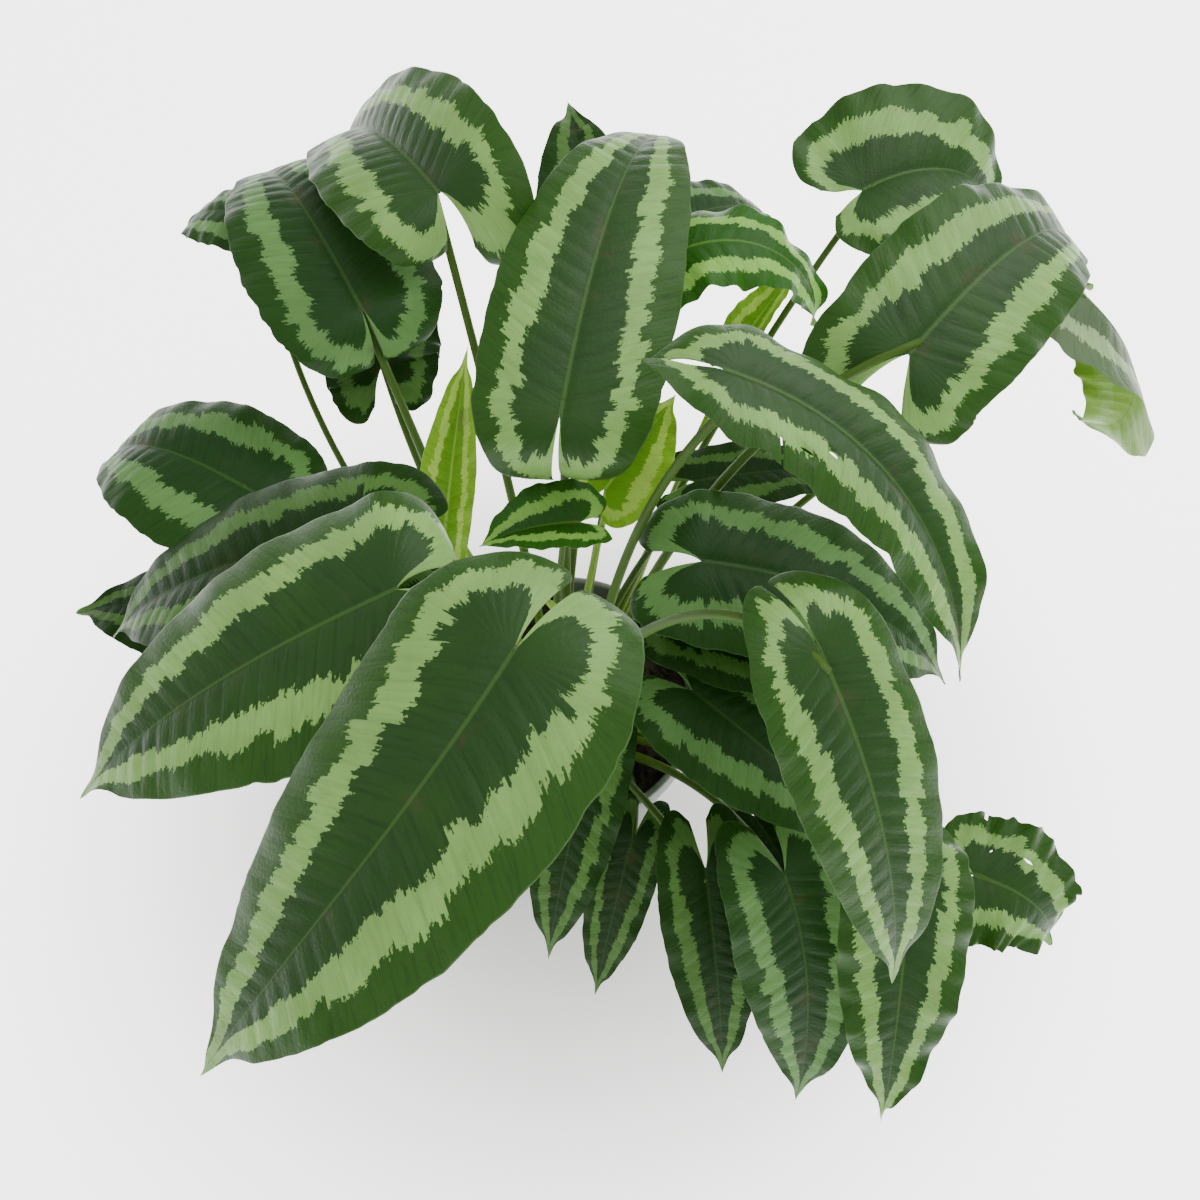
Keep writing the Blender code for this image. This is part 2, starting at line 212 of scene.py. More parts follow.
PALETTE = {
    Tint.MATURE: LeafColours(
        centre=(0.0145, 0.046, 0.0085),
        band=(0.185, 0.345, 0.092),
        margin=(0.019, 0.064, 0.0060),
        rib=(0.058, 0.125, 0.026),
        under=(0.090, 0.170, 0.045),
        gloss=0.15,
    ),
    # Darker than the mature colours, with a dimmer band: painted shade.
    Tint.HALF_SHADED: LeafColours(
        centre=(0.0110, 0.039, 0.0075),
        band=(0.100, 0.215, 0.062),
        margin=(0.0140, 0.050, 0.0065),
        rib=(0.042, 0.095, 0.022),
        under=(0.075, 0.145, 0.036),
        gloss=0.09,
    ),
    # Darker still: painted deep shade, for leaves that lie under others.
    Tint.SHADED: LeafColours(
        centre=(0.0075, 0.026, 0.0045),
        band=(0.060, 0.135, 0.030),
        margin=(0.0095, 0.034, 0.0040),
        rib=(0.026, 0.062, 0.014),
        under=(0.050, 0.105, 0.024),
        gloss=0.05,
    ),
    # A paler, greyer copy of the mature colours: painted sheen, with a lime underside that is painted light
    # shining through the leaf.
    Tint.SHEEN_LIT: LeafColours(
        centre=(0.042, 0.080, 0.027),
        band=(0.24, 0.37, 0.16),
        margin=(0.060, 0.110, 0.038),
        rib=(0.12, 0.20, 0.07),
        under=(0.135, 0.260, 0.020),
        gloss=0.20,
    ),
    Tint.FRESH: LeafColours(
        centre=(0.014, 0.066, 0.004),
        band=(0.20, 0.42, 0.075),
        margin=(0.019, 0.088, 0.005),
        rib=(0.10, 0.22, 0.030),
        under=(0.11, 0.24, 0.030),
        gloss=0.12,
    ),
    Tint.YOUNG: LeafColours(
        centre=(0.115, 0.270, 0.010),
        band=(0.40, 0.60, 0.10),
        margin=(0.180, 0.360, 0.016),
        rib=(0.38, 0.52, 0.12),
        under=(0.28, 0.44, 0.06),
        gloss=0.20,
    ),
}

# The pale band's inner and outer edges, from the notch round the lobe to the tip: place along the
# margin against the share of the way from the midrib to the margin.
BAND_INNER = (
    (0.0, 0.02), (0.045, 0.10), (0.09, 0.42), (0.16, 0.56), (0.26, 0.58), (0.38, 0.54),
    (0.50, 0.47), (0.65, 0.41), (0.78, 0.36), (0.88, 0.26), (0.94, 0.06), (1.0, 0.0),
)
BAND_OUTER = (
    (0.0, 0.86), (0.10, 0.86), (0.22, 0.82), (0.35, 0.77), (0.50, 0.72), (0.65, 0.69),
    (0.78, 0.68), (0.88, 0.72), (0.94, 0.86), (0.98, 1.0), (1.0, 1.0),
)


@dataclass(frozen=True)
class BladeFinish:
    """The blade's finish: dark green with a jagged pale band along each half.

    steps pairs how often the band's edges step, per side vein, with how far; stroke is how far
    its fine strokes reach, both as shares of the half's width.
    """

    tint: Tint
    seed: int
    length: float
    steps: tuple = ((1.0, 0.10), (2.0, 0.05), (6.0, 0.055))
    stroke: float = 0.17
    softness: float = 0.008
    rib_foot: float = 0.75 * MM
    rib_tip: float = 0.12 * MM
    relief: float = 0.38

    def material(self) -> Material:
        """Paints the band, the zones beside it, the veins, painted shade in the valleys between the pleats,
        and the underside.

        Returns:
            The blade's material.
        """
        n = Nodes(f"leaf_{self.tint.value}_{self.seed}")
        colours = PALETTE[self.tint]
        vein, across, margin_place = n.split("blade")
        along, out, under = n.split("sheet")
        spread, _, _ = n.split("relief")
        edge = n.math("ABSOLUTE", across)
        # Each half of each leaf reads a stretch of the noise of its own.
        half = n.math("GREATER_THAN", across, 0.0)
        lane = n.math("MULTIPLY_ADD", half, 61.0, n.math("ADD", vein, 7.0 * self.seed + 200.0))

        # The band's edges step from vein to vein and fray into fine strokes.
        sides = []
        for line, shift in ((BAND_INNER, 0.0), (BAND_OUTER, 503.0)):
            moved = n.math("ADD", lane, shift)
            place = n.curve(margin_place, line)
            for rate, reach in self.steps:
                step = n.math("SUBTRACT", n.dice(n.math("MULTIPLY", moved, rate)), 0.5)
                place = n.math("MULTIPLY_ADD", step, reach, place)
            drawn = n.join(n.math("MULTIPLY", moved, 7.0), n.math("MULTIPLY", edge, 26.0))
            strokes = n.math("SUBTRACT", n.noise(drawn, 1.0, 3.0), 0.5)
            sides.append(n.math("MULTIPLY_ADD", strokes, self.stroke, place))
        inner, outer = sides
        soft = self.softness
        inside = n.ramp(n.math("SUBTRACT", edge, inner), -soft, soft)
        outside = n.ramp(n.math("SUBTRACT", outer, edge), -soft, soft)
        band = n.math("MULTIPLY", inside, outside)

        # Dark zones on both sides of the band, with fine lines along the side veins.
        middle = n.math("MULTIPLY", n.math("ADD", inner, outer), 0.5)
        zone = n.ramp(n.math("SUBTRACT", edge, middle), -0.1, 0.1)
        dark = n.mix(zone, colours.centre, colours.margin)
        patches = n.noise(n.place(), 34.0, 4.0)
        dark = n.mix(n.ramp(patches, 0.35, 0.75, (0.0, 0.45)), dark, colours.margin)
        combed = n.join(n.math("MULTIPLY", lane, 5.0), n.math("MULTIPLY", edge, 4.0))
        lines = n.noise(combed, 1.0, 3.0)
        lines = n.math("MULTIPLY_ADD", n.math("SUBTRACT", lines, 0.45), spread, 0.45)
        deep = tuple(0.55 * value for value in colours.centre)
        dark = n.mix(n.ramp(lines, 0.45, 0.8, (0.0, 0.5)), dark, deep)
        dim = tuple(0.62 * value for value in colours.band)
        pale = n.mix(n.ramp(lines, 0.40, 0.8, (0.0, 0.55)), colours.band, dim)
        pale = n.mix(n.ramp(patches, 0.35, 0.7, (0.5, 0.0)), pale, dim)
        colour = n.mix(band, dark, pale)

        # Painted shade in the valleys between the pleats, a brownish stain by the midrib, the midrib and the
        # pale rim.
        ripple = n.math("ABSOLUTE", n.math("SUBTRACT", n.math("FRACT", vein), 0.5))
        uneven = n.noise(n.join(lane, n.math("MULTIPLY", edge, 3.0)), 0.8)
        uneven = n.ramp(uneven, 0.35, 0.7, (0.1, 0.42))
        valley_shade = n.math("MULTIPLY", n.math("MULTIPLY", n.ramp(ripple, 0.40, 0.5), uneven), spread)
        colour = n.mix(valley_shade, colour, n.mix(band, deep, dim))

        stain = n.ramp(n.math("ABSOLUTE", out), 3.0 * MM, 9.0 * MM, (1.0, 0.0))
        specks = n.ramp(n.noise(n.place(), 60.0, 4.0), 0.55, 0.75, (0.0, 0.45))
        stain = n.math("MULTIPLY", stain, specks)
        colour = n.mix(stain, colour, (0.060, 0.048, 0.022))

        taper = n.ramp(along, 0.0, self.length, (self.rib_foot, self.rib_tip))
        beyond = n.math("SUBTRACT", n.math("ABSOLUTE", out), taper)
        rib = n.ramp(beyond, -0.3 * MM, 0.4 * MM, (0.45, 0.0))
        colour = n.mix(rib, colour, colours.rib)
        rim = n.ramp(edge, 0.982, 0.996, (0.0, 0.35))
        colour = n.mix(rim, colour, colours.rib)

        # The underside is paler, and shows the band only faintly.
        below = n.mix(n.math("MULTIPLY", band, 0.25), colours.under, colours.band)
        # Painted shade in the valleys below as well.
        below = n.mix(valley_shade, below, colours.margin)
        below = n.mix(rib, below, colours.rib)
        colour = n.mix(n.ramp(under, 0.45, 0.55), colour, below)

        rough = n.ramp(n.noise(n.place(), 90.0, 3.0), 0.3, 0.7, (0.34, 0.46))
        n.surface(colour, rough, colours.gloss)
        grain = n.noise(n.place(), 700.0, 2.0)
        n.bump(n.math("MULTIPLY_ADD", lines, 1.5, grain), self.relief, 0.5 * MM)
        return n.material


@dataclass(frozen=True)
class StalkFinish:
    """Green stalk with paler threads along it, paler where it is sheathed."""

    tint: Tint

    def material(self) -> Material:
        """Paints the stalk.

        Returns:
            The stalk's material.
        """
        n = Nodes(f"stalk_{self.tint.value}")
        around, height, _ = n.split("stalk")
        low, high = (0.120, 0.210, 0.030), (0.042, 0.088, 0.010)
        if self.tint is Tint.YOUNG:
            low, high = (0.26, 0.38, 0.07), (0.20, 0.34, 0.04)
        colour = n.mix(n.ramp(height, 0.0, 0.5), low, high)
        drawn = n.join(n.math("MULTIPLY", around, 3.0), n.math("MULTIPLY", height, 5.0))
        threads = n.noise(drawn, 4.0, 3.0)
        colour = n.mix(n.ramp(threads, 0.35, 0.75, (0.0, 0.5)), colour, (0.024, 0.052, 0.007))
        n.surface(colour, 0.5, 0.12)
        n.bump(threads, 0.2, 0.4 * MM)
        return n.material


@dataclass(frozen=True)
class SoilFinish:
    """Dark moist potting mix."""

    def material(self) -> Material:
        """Paints the soil and its crumbs.

        Returns:
            The soil's material.
        """
        n = Nodes("potting_soil")
        crumbs = n.noise(n.place(), 260.0, 6.0)
        wet, dry = (0.006995, 0.005182, 0.003347), (0.03434, 0.02315, 0.01298)
        colour = n.mix(n.ramp(crumbs, 0.35, 0.7), wet, dry)
        n.surface(colour, n.ramp(crumbs, 0.3, 0.7, (0.75, 0.95)), 0.3)
        n.bump(n.noise(n.place(), 900.0, 5.0), 0.8, 1.0 * MM)
        return n.material


@dataclass(frozen=True)
class PotFinish:
    """Mid-grey moulded plastic with a faint grain and a little dust."""

    def material(self) -> Material:
        """Paints the pot.

        Returns:
            The pot's material.
        """
        n = Nodes("pot_plastic")
        dust = n.noise(n.place(), 24.0, 5.0)
        grey, dusty = (0.162, 0.1746, 0.1683), (0.2307, 0.2384, 0.2159)
        colour = n.mix(n.ramp(dust, 0.4, 0.8, (0.0, 0.5)), grey, dusty)
        n.surface(colour, n.ramp(dust, 0.3, 0.8, (0.40, 0.58)), 0.5)
        n.bump(n.noise(n.place(), 1400.0, 2.0), 0.15, 0.2 * MM)
        return n.material


@dataclass(frozen=True)
class FloorFinish:
    """Plain pale floor that glows: dimly near the plant, as a painted shadow under it, and more brightly
    farther away.
    """

    near: float = 80 * MM
    far: float = 360 * MM
    dim: float = 0.4
    glow: float = 3.0

    def material(self) -> Material:
        """Paints the floor.

        Returns:
            The floor's material.
        """
        n = Nodes("pale_floor")
        n.surface((0.92, 0.92, 0.92), 0.7, 0.2)
        n.feed(n.shader.inputs["Emission Color"], (1.0, 1.0, 1.0))
        distance = n.node("ShaderNodeVectorMath", {0: n.place()}, "Value", operation="LENGTH")
        # Painted shadow: the glow is dim near the plant and brightens with distance from it.
        glow = n.ramp(distance, self.near, self.far, (self.dim, self.glow))
        n.feed(n.shader.inputs["Emission Strength"], glow)
        return n.material


# Leaf table and the blade's surface


@dataclass(frozen=True)
class LeafSpec:
    """One leaf, in millimetres and degrees, as in the part's own table.

    base is where the stalk meets the blade, heading the midrib's compass there, and pitch its
    rise; droop and sway say how far the midrib turns down and left by the tip, roll and twist how
    the blade rolls, fold and curl how its halves slope, lobe how far its lobes turn down, and
    close how far they close in on the notch.
    """

    name: str
    base: tuple[float, float, float]
    heading: float
    pitch: float
    droop: float
    sway: float
    roll: float
    twist: float
    fold: float
    curl: float
    lobe: float
    length: float
    width: float
    wave: float
    root: tuple[float, float]
    arch: float = 0.5
    bow: float = 0.0
    close: float = 0.0


LEAF_ROWS = (
    ("leaf_01", (-10, -110, 380), -125, -22, 35, -25, 0, 0, 8, -40, 85, 215, 110, 1, (-96, 12), 0.8, 0, 0.2),
    ("leaf_02", (5, 29, 338), 79, 24, 75, -7, 5, -8, 8, -30, 125, 210, 84, 1, (60, 8), 0.5, 0, 0.22),
    ("leaf_03", (106, -95, 350), -56, -40, 35, -20, 0, 0, 10, -35, 80, 165, 66, 1, (-60, 16), 2.6, -10, 0.3),
    ("leaf_04", (-60, -60, 340), -162, -18, 35, 0, -5, 0, 8, -40, 125, 180, 108, 1, (-135, 14), 0.8),
    ("leaf_05", (75, 0, 400), -13, -15, 50, -62, -12, 0, 20, -55, 40, 164, 68, 2, (10, 14), 1.2, 0, 0.55),
    ("leaf_06", (154, 52, 348), 46, 20, 100, 0, 18, 0, 8, -30, 90, 170, 84, 2, (20, 20), 1.6, 0.0, -0.2),
    ("leaf_07", (148, 174, 321), 25, 12, 100, -20, 4, 30, 22, -30, 0, 98, 96, 2, (45, 24), 0.8),
    ("leaf_08", (-52, 142, 353), 121, -7, 66, 0, -20, 0, 25, -35, 140, 158, 88, 1, (107, 14)),
    ("leaf_09", (-89, 105, 317), 118, 10, 68, 0, 0, 0, 8, -35, 130, 162, 88, 1, (150, 28), 0.2, 0, 0.2),
    ("leaf_10", (-82, -11, 304), 180, -18, 40, 0, 0, 0, 8, -35, 60, 160, 90, 1, (180, 14), 0.8),
    ("leaf_11", (-145, 48, 248), 152, 12, 85, 0, 0, 0, 8, -35, 40, 118, 90, 1, (165, 24)),
    ("leaf_12", (63, -58, 247), -37, -12, 18, 0, 0, 0, 10, -35, 50, 106, 66, 1, (-30, 24)),
    ("leaf_13", (67, -15, 288), -5, -5, 55, -18, 0, 0, 10, -35, 60, 138, 85, 1, (-5, 22), 0.5, 15),
    ("leaf_14", (17, -67, 199), -108, -45, 25, 0, 0, 0, 12, -30, 60, 123, 45, 1, (-88, 24), 1.0),
    ("leaf_15", (72, -112, 165), -80, -45, 25, 0, 0, 0, 12, -30, 60, 125, 50, 1, (-66, 28), 1.2),
    ("leaf_16", (108, -119, 177), -63, -45, 25, -38, 0, 0, 12, -30, 60, 139, 68, 1, (-50, 34), 0.4, 14),
    ("leaf_17", (162, -130, 198), -94, -35, 30, 0, 0, 0, 10, -35, 80, 125, 62, 3, (-36, 30), 2.1, 3),
    ("leaf_18", (263, 162, 266), -43, -10, 155, -14, -20, -110, -20, -10, 110, 128, 80, 2, (30, 28), 0.4),
    ("leaf_19", (42, 113, 333), 25, 25, 120, -60, 0, 0, 5, -30, 40, 112, 52, 3, (66, 20)),
    ("leaf_20", (56, 176, 296), 30, 0, 60, 0, 0, 0, 5, -30, 40, 72, 60, 1, (75, 26)),
    ("leaf_21", (25, 125, 290), 98, 12, 30, 0, 0, 0, 15, -20, 40, 145, 60, 1, (88, 20)),
    ("leaf_22", (-85, 106, 272), 98, -5, 50, 0, 0, 0, 5, -30, 60, 110, 60, 6, (130, 30), 0.5, 12),
    ("leaf_23", (-142, 182, 291), 160, 5, 80, 0, 0, 0, 5, -30, 60, 70, 46, 1, (148, 36), 0.3, 34),
    ("leaf_24", (-142, 15, 190), 170, -5, 30, 0, 0, 0, 5, -30, 25, 120, 70, 1, (-175, 28)),
    ("leaf_25", (68, 52, 252), 14, -5, 20, 0, -8, 0, 8, -20, 25, 90, 44, 1, (52, 22), 0.5, 6),
    ("leaf_26", (62, -34, 265), -15, -5, 40, 0, 0, 0, 8, -30, 60, 90, 50, 1, (-20, 16), 1.4, 4),
    ("leaf_27", (204, -109, 148), -15, -5, 95, -20, 22, 0, 5, -20, 25, 72, 66, 4, (-24, 38)),
    ("leaf_28", (38, -86, 138), -110, -50, 20, 0, 0, 0, 15, -30, 110, 105, 36, 1, (-45, 42), 0.8, 8),
    ("leaf_29", (23, -54, 136), -100, -10, 50, 0, 0, 0, 12, -30, 60, 48, 26, 1, (-80, 40)),
    ("leaf_30", (135, -92, 172), -70, -45, 20, 0, 0, 0, 10, -30, 60, 110, 50, 1, (-33, 38), 1.0),
    ("leaf_31", (98, -80, 152), -50, -30, 20, 0, 0, 0, 10, -30, 60, 68, 42, 1, (-38, 46)),
    ("young_leaf_1", (24, 32, 275), 46, 30, 0, 0, 35, 0, 30, 10, 10, 52, 48, 1, (0, 4)),
    ("young_leaf_2", (13, 7, 285), 190, 12, 30, 10, 0, 0, 30, -15, 25, 46, 40, 1, (180, 6)),
    ("young_leaf_3", (-53, 29, 240), 80, 45, 15, 0, 0, 0, 25, 10, 15, 88, 32, 1, (140, 12)),
    ("young_leaf_4", (88, 117, 270), 52, 20, 10, 0, 0, 0, 40, 10, 10, 52, 28, 1, (40, 32)),
)
LEAVES = tuple(LeafSpec(*row) for row in LEAF_ROWS)

# Leaves in shade take the darkened copies, which are painted shade; the one paler copy is painted sheen.
TINTS = {
    Tint.HALF_SHADED: ("leaf_09", "leaf_11", "leaf_12", "leaf_13", "leaf_16", "leaf_20", "leaf_23"),
    Tint.SHADED: (
        "leaf_10", "leaf_14", "leaf_15", "leaf_21", "leaf_22", "leaf_24", "leaf_25", "leaf_26", "leaf_28",
        "leaf_29", "leaf_30", "leaf_31",
    ),
    Tint.SHEEN_LIT: ("leaf_18",),
    Tint.FRESH: ("leaf_19", "young_leaf_2"),
    Tint.YOUNG: ("young_leaf_1", "young_leaf_3", "young_leaf_4"),
}


class Half(IntEnum):
    """A half of a blade, as a number that is 1 on the midrib's left and -1 on its right."""

    LEFT = 1
    RIGHT = -1


@dataclass(frozen=True)
class Tear:
    """A slit in a blade, or a bit missing from its margin.

    side is the half that it is in, place the side vein where it lies, as a share of the half's
    veins, columns its width in grid columns, and inner and outer its ends as shares of the way
    from the midrib to the margin.
    """

    side: Half
    place: float
    columns: int
    inner: float
    outer: float


TEARS = {
    "leaf_05": (
        Tear(Half.RIGHT, 0.435, 6, 0.64, 0.73),
        Tear(Half.RIGHT, 0.50, 4, 0.46, 0.55),
        Tear(Half.RIGHT, 0.385, 1, 0.73, 1.0),
    ),
    "leaf_27": (
        Tear(Half.LEFT, 0.55, 5, 0.46, 0.55),
        Tear(Half.LEFT, 0.42, 3, 0.37, 0.46),
        Tear(Half.LEFT, 0.74, 3, 0.9, 1.0),
        Tear(Half.LEFT, 0.30, 2, 0.9, 1.0),
    ),
}
RAGGED = {"leaf_27": 5.0, "leaf_09": 2.0, "leaf_22": 3.5, "leaf_05": 1.6}  # roughness of the margin

SOIL_TOP = 113 * MM
ROOT_GAP = 0.3 * MM
LOBE_REACH = 0.245  # how far the lobes run back behind the stalk, in blade lengths
NOTCH_HALF = 0.05  # least distance from a lobe to the notch's middle line, in half widths
RIB_SLANT = 0.55  # how far a side vein runs on towards the tip, per unit of width
JOIN_AHEAD = 7 * MM  # from the blade's base to the stalk's end, along the midrib
TIP_KNOT = 8.6  # where the margin starts to narrow into the drawn-out tip, as a knot's number
STALK_FOOT_WIDTH = 0.028  # of a stalk at its foot, in blade lengths

# Grid rows of half a blade, from its midrib to its margin, as shares of the way.
SHEET_ROWS = np.array(
    (0, 0.012, 0.028, 0.05, 0.08, 0.13, 0.20, 0.28, 0.37, 0.46, 0.55, 0.64, 0.73, 0.82, 0.90, 0.955,
     0.985, 1)
)

# Margin of half a blade, from the notch round the lobe to the tip: along the midrib in blade
# lengths from the stalk, and out from the midrib in half widths.
MARGIN = np.array(
    (
        (-0.19, 0.16), (-0.245, 0.40), (-0.215, 0.66), (-0.12, 0.86), (0.03, 0.965), (0.20, 1.0),
        (0.40, 0.93), (0.60, 0.745), (0.78, 0.47), (0.91, 0.19), (1.0, 0.0),
    )
)


def catmull_rom(points: Array, position: Array) -> Array:
    """A smooth curve through points.

    Args:
        points: the points, one a row.
        position: where to read it, from 0 to the points' count less one.

    Returns:
        One point a row.
    """
    last = len(points) - 2
    span = np.clip(position.astype(int), 0, last)
    f = (position - span)[:, None]
    start, end = points[span], points[span + 1]
    before = np.where((span > 0)[:, None], points[span - 1], 2 * start - end)
    after = np.where((span < last)[:, None], points[np.minimum(span + 2, last + 1)], 2 * end - start)
    return 0.5 * (
        2 * start
        + (end - before) * f
        + (2 * before - 5 * start + 4 * end - after) * f**2
        + (3 * start - before - 3 * end + after) * f**3
    )


def smooth_noise(place: Array, seed: int) -> Array:
    """Soft noise from -1 to 1 along a line.

    Args:
        place: where to read it; it changes over about one unit.
        seed: which noise.

    Returns:
        One number for each place.
    """
    values = np.random.default_rng(seed).uniform(-1, 1, 512)
    cell = np.floor(place).astype(int)
    f = place - cell
    f = f * f * (3 - 2 * f)
    return values[cell % 512] * (1 - f) + values[(cell + 1) % 512] * f


def add_object(name: str, data: bpy.types.ID) -> Piece:
    """Adds an object to the scene.

    Args:
        name: the object's name.
        data: its mesh, lamp or camera.

    Returns:
        The object.
    """
    item = bpy.data.objects.new(name, data)
    bpy.context.scene.collection.objects.link(item)
    return item


def new_piece(
    name: str,
    verts: Array,
    faces: Faces,
    material: Material,
    vectors: dict[str, Array] | None = None,
) -> Piece:
    """Makes a smooth-shaded object that rides on the plant's body.

    Args:
        name: the piece's name.
        verts: its points.
        faces: its faces, as point numbers.
        material: its material.
        vectors: named vectors that the material reads, one row for each point.

    Returns:
        The object.
    """
    mesh = bpy.data.meshes.new(name)
    mesh.from_pydata(verts.tolist(), [], faces)
    for key, rows in (vectors or {}).items():
        mesh.attributes.new(key, "FLOAT_VECTOR", "POINT").data.foreach_set("vector", rows.ravel())
    mesh.materials.append(material)
    mesh.shade_smooth()
    mesh.update()
    piece = add_object(name, mesh)
    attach(piece, "root")
    return piece


def closed_skin(quads: Array, count: int) -> Faces:
    """Closes a sheet with a skin above, one below and a strip round its open edges.

    Args:
        quads: the upper skin's faces, as point numbers; corners that fall together are dropped.
        count: how many points the upper skin has; the lower skin's follow, in the same order.

    Returns:
        All the faces.
    """
    faces, open_edges = [], {}
    for quad in quads.tolist():
        face = list(dict.fromkeys(quad))
        if len(face) < 3:
            continue
        faces += [face, [corner + count for corner in face[::-1]]]
        for a, b in zip(face, face[1:] + face[:1]):
            if open_edges.pop((b, a), None) is None:
                open_edges[a, b] = True
    return faces + [[b, a, a + count, b + count] for a, b in open_edges]


def spokes(count: int) -> Array:
    """Evenly spaced angles round one full turn."""
    return np.linspace(0, 2 * pi, count, endpoint=False)


def unit(rows: Array) -> Array:
    """Each row's vector, brought to length one."""
    return rows / np.linalg.norm(rows, axis=-1, keepdims=True)


def tube(
    name: str, path: Array, wide: Array, material: Material
) -> Piece:
    """Makes a closed tube.

    Args:
        name: the piece's name.
        path: its centre points.
        wide: its radius, with a row for each centre point and a column for each side.
        material: its material, which reads how far round and along the tube a point is.

    Returns:
        The object.
    """
    count, sides = wide.shape
    angle = spokes(sides)
    ahead = unit(np.gradient(path, axis=0))
    across = unit(np.cross(ahead, (0.0, 1.0, 0.0)))
    third = np.cross(ahead, across)
    rings = (
        path[:, None]
        + across[:, None] * (np.cos(angle)[None, :] * wide)[..., None]
        + third[:, None] * (np.sin(angle)[None, :] * wide)[..., None]
    )
    faces = []
    for i in range(count - 1):
        for k in range(sides):
            a, b = i * sides + k, i * sides + (k + 1) % sides
            faces.append([a, b, b + sides, a + sides])
    faces.append(list(range(sides))[::-1])
    faces.append([(count - 1) * sides + k for k in range(sides)])
    around, along = np.broadcast_arrays(angle[None, :], np.linspace(0, 1, count)[:, None])
    rows = np.stack((around, along, 0 * around), -1).reshape(-1, 3)
    return new_piece(name, rings.reshape(-1, 3), faces, material, {"stalk": rows})


class Midrib:
    """The bending line that a blade is laid along."""

    STEPS = 320
    START, END = -0.32, 1.08

    def __init__(self, leaf: LeafSpec) -> None:
        """Walks along the midrib once, both ways from the stalk.

        Args:
            leaf: the leaf that it runs through.
        """
        self.leaf = leaf
        self.grid = np.linspace(self.START, self.END, self.STEPS + 1)
        step = self.grid[1] - self.grid[0]
        along = self.frame(self.grid[:-1] + 0.5 * step)[0] * step * leaf.length * MM
        walked = np.vstack((np.zeros(3), np.cumsum(along, axis=0)))
        self.places = walked
        self.places = walked - self.place(0.0) + np.array(leaf.base) * MM

    def frame(self, s: Array) -> tuple[Array, Array, Array]:
        """The midrib's direction, the blade's left and its upper normal.

        Args:
            s: places along the midrib, in blade lengths from the stalk.

        Returns:
            Three arrays of unit vectors.
        """
        leaf = self.leaf
        ahead, behind = np.maximum(s, 0), np.maximum(-s, 0)
        pitch = np.radians(leaf.pitch - leaf.droop * ahead**1.4 + leaf.lobe * behind / 0.25)
        heading = np.radians(leaf.heading + leaf.sway * ahead)
        roll = np.radians(leaf.roll + leaf.twist * ahead)[..., None]
        level = np.stack((-np.sin(heading), np.cos(heading), 0 * heading), -1)
        along = np.stack(
            (np.cos(pitch) * np.cos(heading), np.cos(pitch) * np.sin(heading), np.sin(pitch)), -1
        )
        left = level * np.cos(roll) + np.cross(along, level) * np.sin(roll)
        return along, left, np.cross(along, left)

    def place(self, s: Array | float) -> Array:
        """The midrib's points at s blade lengths from the stalk."""
        return np.stack([np.interp(s, self.grid, self.places[:, k]) for k in range(3)], -1)


